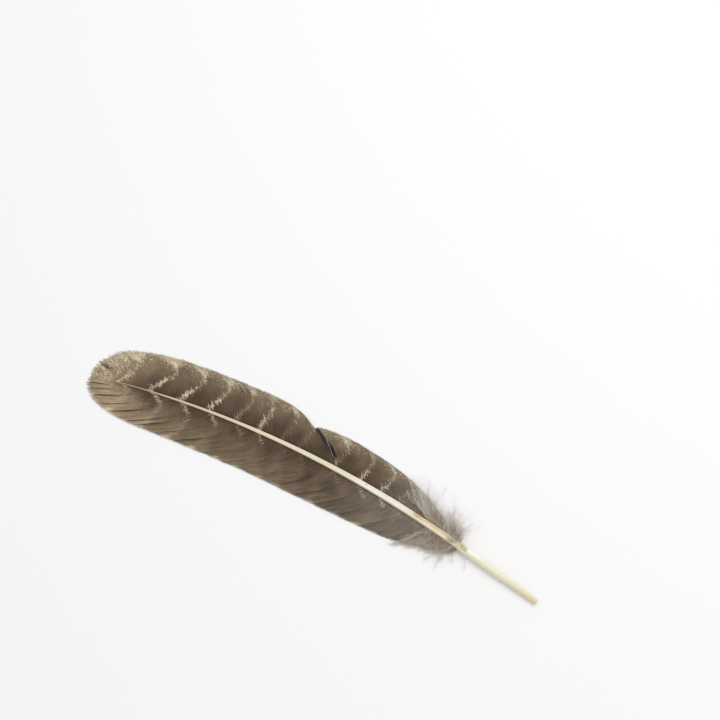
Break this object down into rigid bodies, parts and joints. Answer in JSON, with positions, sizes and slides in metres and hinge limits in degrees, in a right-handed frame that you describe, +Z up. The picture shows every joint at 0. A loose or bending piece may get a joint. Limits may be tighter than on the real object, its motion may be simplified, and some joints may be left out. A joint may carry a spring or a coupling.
{
  "type": "uncut feather quill",
  "caption": "Barred wing feather of the kind quill pens are cut from: hollow barrel, grooved tapering shaft, two curved webs of barbs and downy base.",
  "frame": {"origin": "middle of the underside of the bounding box, on the surface the feather lies on", "axes": "+X toward the open end of the barrel along the feather's length, +Y toward the outer web, +Z up out of the grooved face"},
  "size_m": [0.2974, 0.055, 0.0058],
  "materials": {
    "horn": "translucent pale cream horn, smooth and slightly glossy",
    "cortex": "opaque cream horn, satin",
    "pith": "white foam-like pith, matt",
    "membrane": "dry thin skin, matt",
    "plug": "dry brown tissue, matt",
    "outer_web": "grey-brown barbs with cream bars and mottled margin, soft satin sheen",
    "inner_web": "grey-brown barbs with faint bars and diagonal ripples, soft satin sheen",
    "down": "pale grey-brown fluff, matt"
  },
  "bodies": {
    "shaft": {"quill_barrel": "horn", "umbilicus_plug": "plug", "barrel_tip_plug": "plug", "pulp_cap_1": "membrane", "pulp_cap_2": "membrane", "pulp_cap_3": "membrane", "pulp_cap_4": "membrane", "rachis_shell": "cortex", "rachis_pith": "pith", "afterfeather": "down", "outer_down_1": "down", "outer_down_2": "down", "inner_down_1": "down", "inner_down_2": "down"},
    "outer_run_1": {"outer_vane_1": "outer_web"},
    "outer_run_2": {"outer_vane_2": "outer_web"},
    "outer_run_3": {"outer_vane_3": "outer_web"},
    "outer_run_4": {"outer_vane_4": "outer_web"},
    "outer_run_5": {"outer_vane_5": "outer_web"},
    "outer_run_6": {"outer_vane_6": "outer_web"},
    "inner_run_1": {"inner_vane_1": "inner_web"},
    "inner_run_2": {"inner_vane_2": "inner_web"},
    "inner_run_3": {"inner_vane_3": "inner_web"},
    "inner_run_4": {"inner_vane_4": "inner_web"},
    "inner_run_5": {"inner_vane_5": "inner_web"},
    "inner_run_6": {"inner_vane_6": "inner_web"}
  },
  "joints": [
    {"name": "outer_vane_1_flex", "type": "hinge", "parent": "shaft", "child": "outer_run_1", "pos_m": [0.06064, 0.00005, 0.00289], "axis": [0.994, -0.1088, -0.0135], "range_deg": [-10, 25], "stiffness_Nm_per_rad": 0.001},
    {"name": "outer_vane_2_flex", "type": "hinge", "parent": "shaft", "child": "outer_run_2", "pos_m": [0.02932, 0.0027, 0.00317], "axis": [0.9981, -0.0607, -0.0043], "range_deg": [-10, 25], "stiffness_Nm_per_rad": 0.001},
    {"name": "outer_vane_3_flex", "type": "hinge", "parent": "shaft", "child": "outer_run_3", "pos_m": [-0.01008, 0.00369, 0.00304], "axis": [1, -0.0007, 0.0083], "range_deg": [-10, 25], "stiffness_Nm_per_rad": 0.001},
    {"name": "outer_vane_4_flex", "type": "hinge", "parent": "shaft", "child": "outer_run_4", "pos_m": [-0.05288, 0.00245, 0.00245], "axis": [0.9977, 0.0644, 0.0205], "range_deg": [-10, 25], "stiffness_Nm_per_rad": 0.001},
    {"name": "outer_vane_5_flex", "type": "hinge", "parent": "shaft", "child": "outer_run_5", "pos_m": [-0.08926, -0.00085, 0.00158], "axis": [0.9924, 0.1196, 0.0276], "range_deg": [-10, 25], "stiffness_Nm_per_rad": 0.001},
    {"name": "outer_vane_6_flex", "type": "hinge", "parent": "shaft", "child": "outer_run_6", "pos_m": [-0.11771, -0.00479, 0.00075], "axis": [0.9862, 0.1627, 0.0303], "range_deg": [-10, 25], "stiffness_Nm_per_rad": 0.001},
    {"name": "inner_vane_1_flex", "type": "hinge", "parent": "shaft", "child": "inner_run_1", "pos_m": [0.05844, -0.00406, 0.0029], "axis": [-0.9928, 0.1188, 0.0131], "range_deg": [-10, 25], "stiffness_Nm_per_rad": 0.001},
    {"name": "inner_vane_2_flex", "type": "hinge", "parent": "shaft", "child": "inner_run_2", "pos_m": [0.01883, -0.00067, 0.00315], "axis": [-0.9982, 0.0602, 0.001], "range_deg": [-10, 25], "stiffness_Nm_per_rad": 0.001},
    {"name": "inner_vane_3_flex", "type": "hinge", "parent": "shaft", "child": "inner_run_3", "pos_m": [-0.02547, 0.00057, 0.00289], "axis": [-0.9999, -0.0059, -0.013], "range_deg": [-10, 25], "stiffness_Nm_per_rad": 0.001},
    {"name": "inner_vane_4_flex", "type": "hinge", "parent": "shaft", "child": "inner_run_4", "pos_m": [-0.06411, -0.00064, 0.00221], "axis": [-0.9977, -0.0636, -0.0232], "range_deg": [-10, 25], "stiffness_Nm_per_rad": 0.001},
    {"name": "inner_vane_5_flex", "type": "hinge", "parent": "shaft", "child": "inner_run_5", "pos_m": [-0.09473, -0.00322, 0.00143], "axis": [-0.9936, -0.1093, -0.0285], "range_deg": [-10, 25], "stiffness_Nm_per_rad": 0.001},
    {"name": "inner_vane_6_flex", "type": "hinge", "parent": "shaft", "child": "inner_run_6", "pos_m": [-0.11865, -0.00624, 0.00072], "axis": [-0.989, -0.1451, -0.0304], "range_deg": [-10, 25], "stiffness_Nm_per_rad": 0.001}
  ]
}
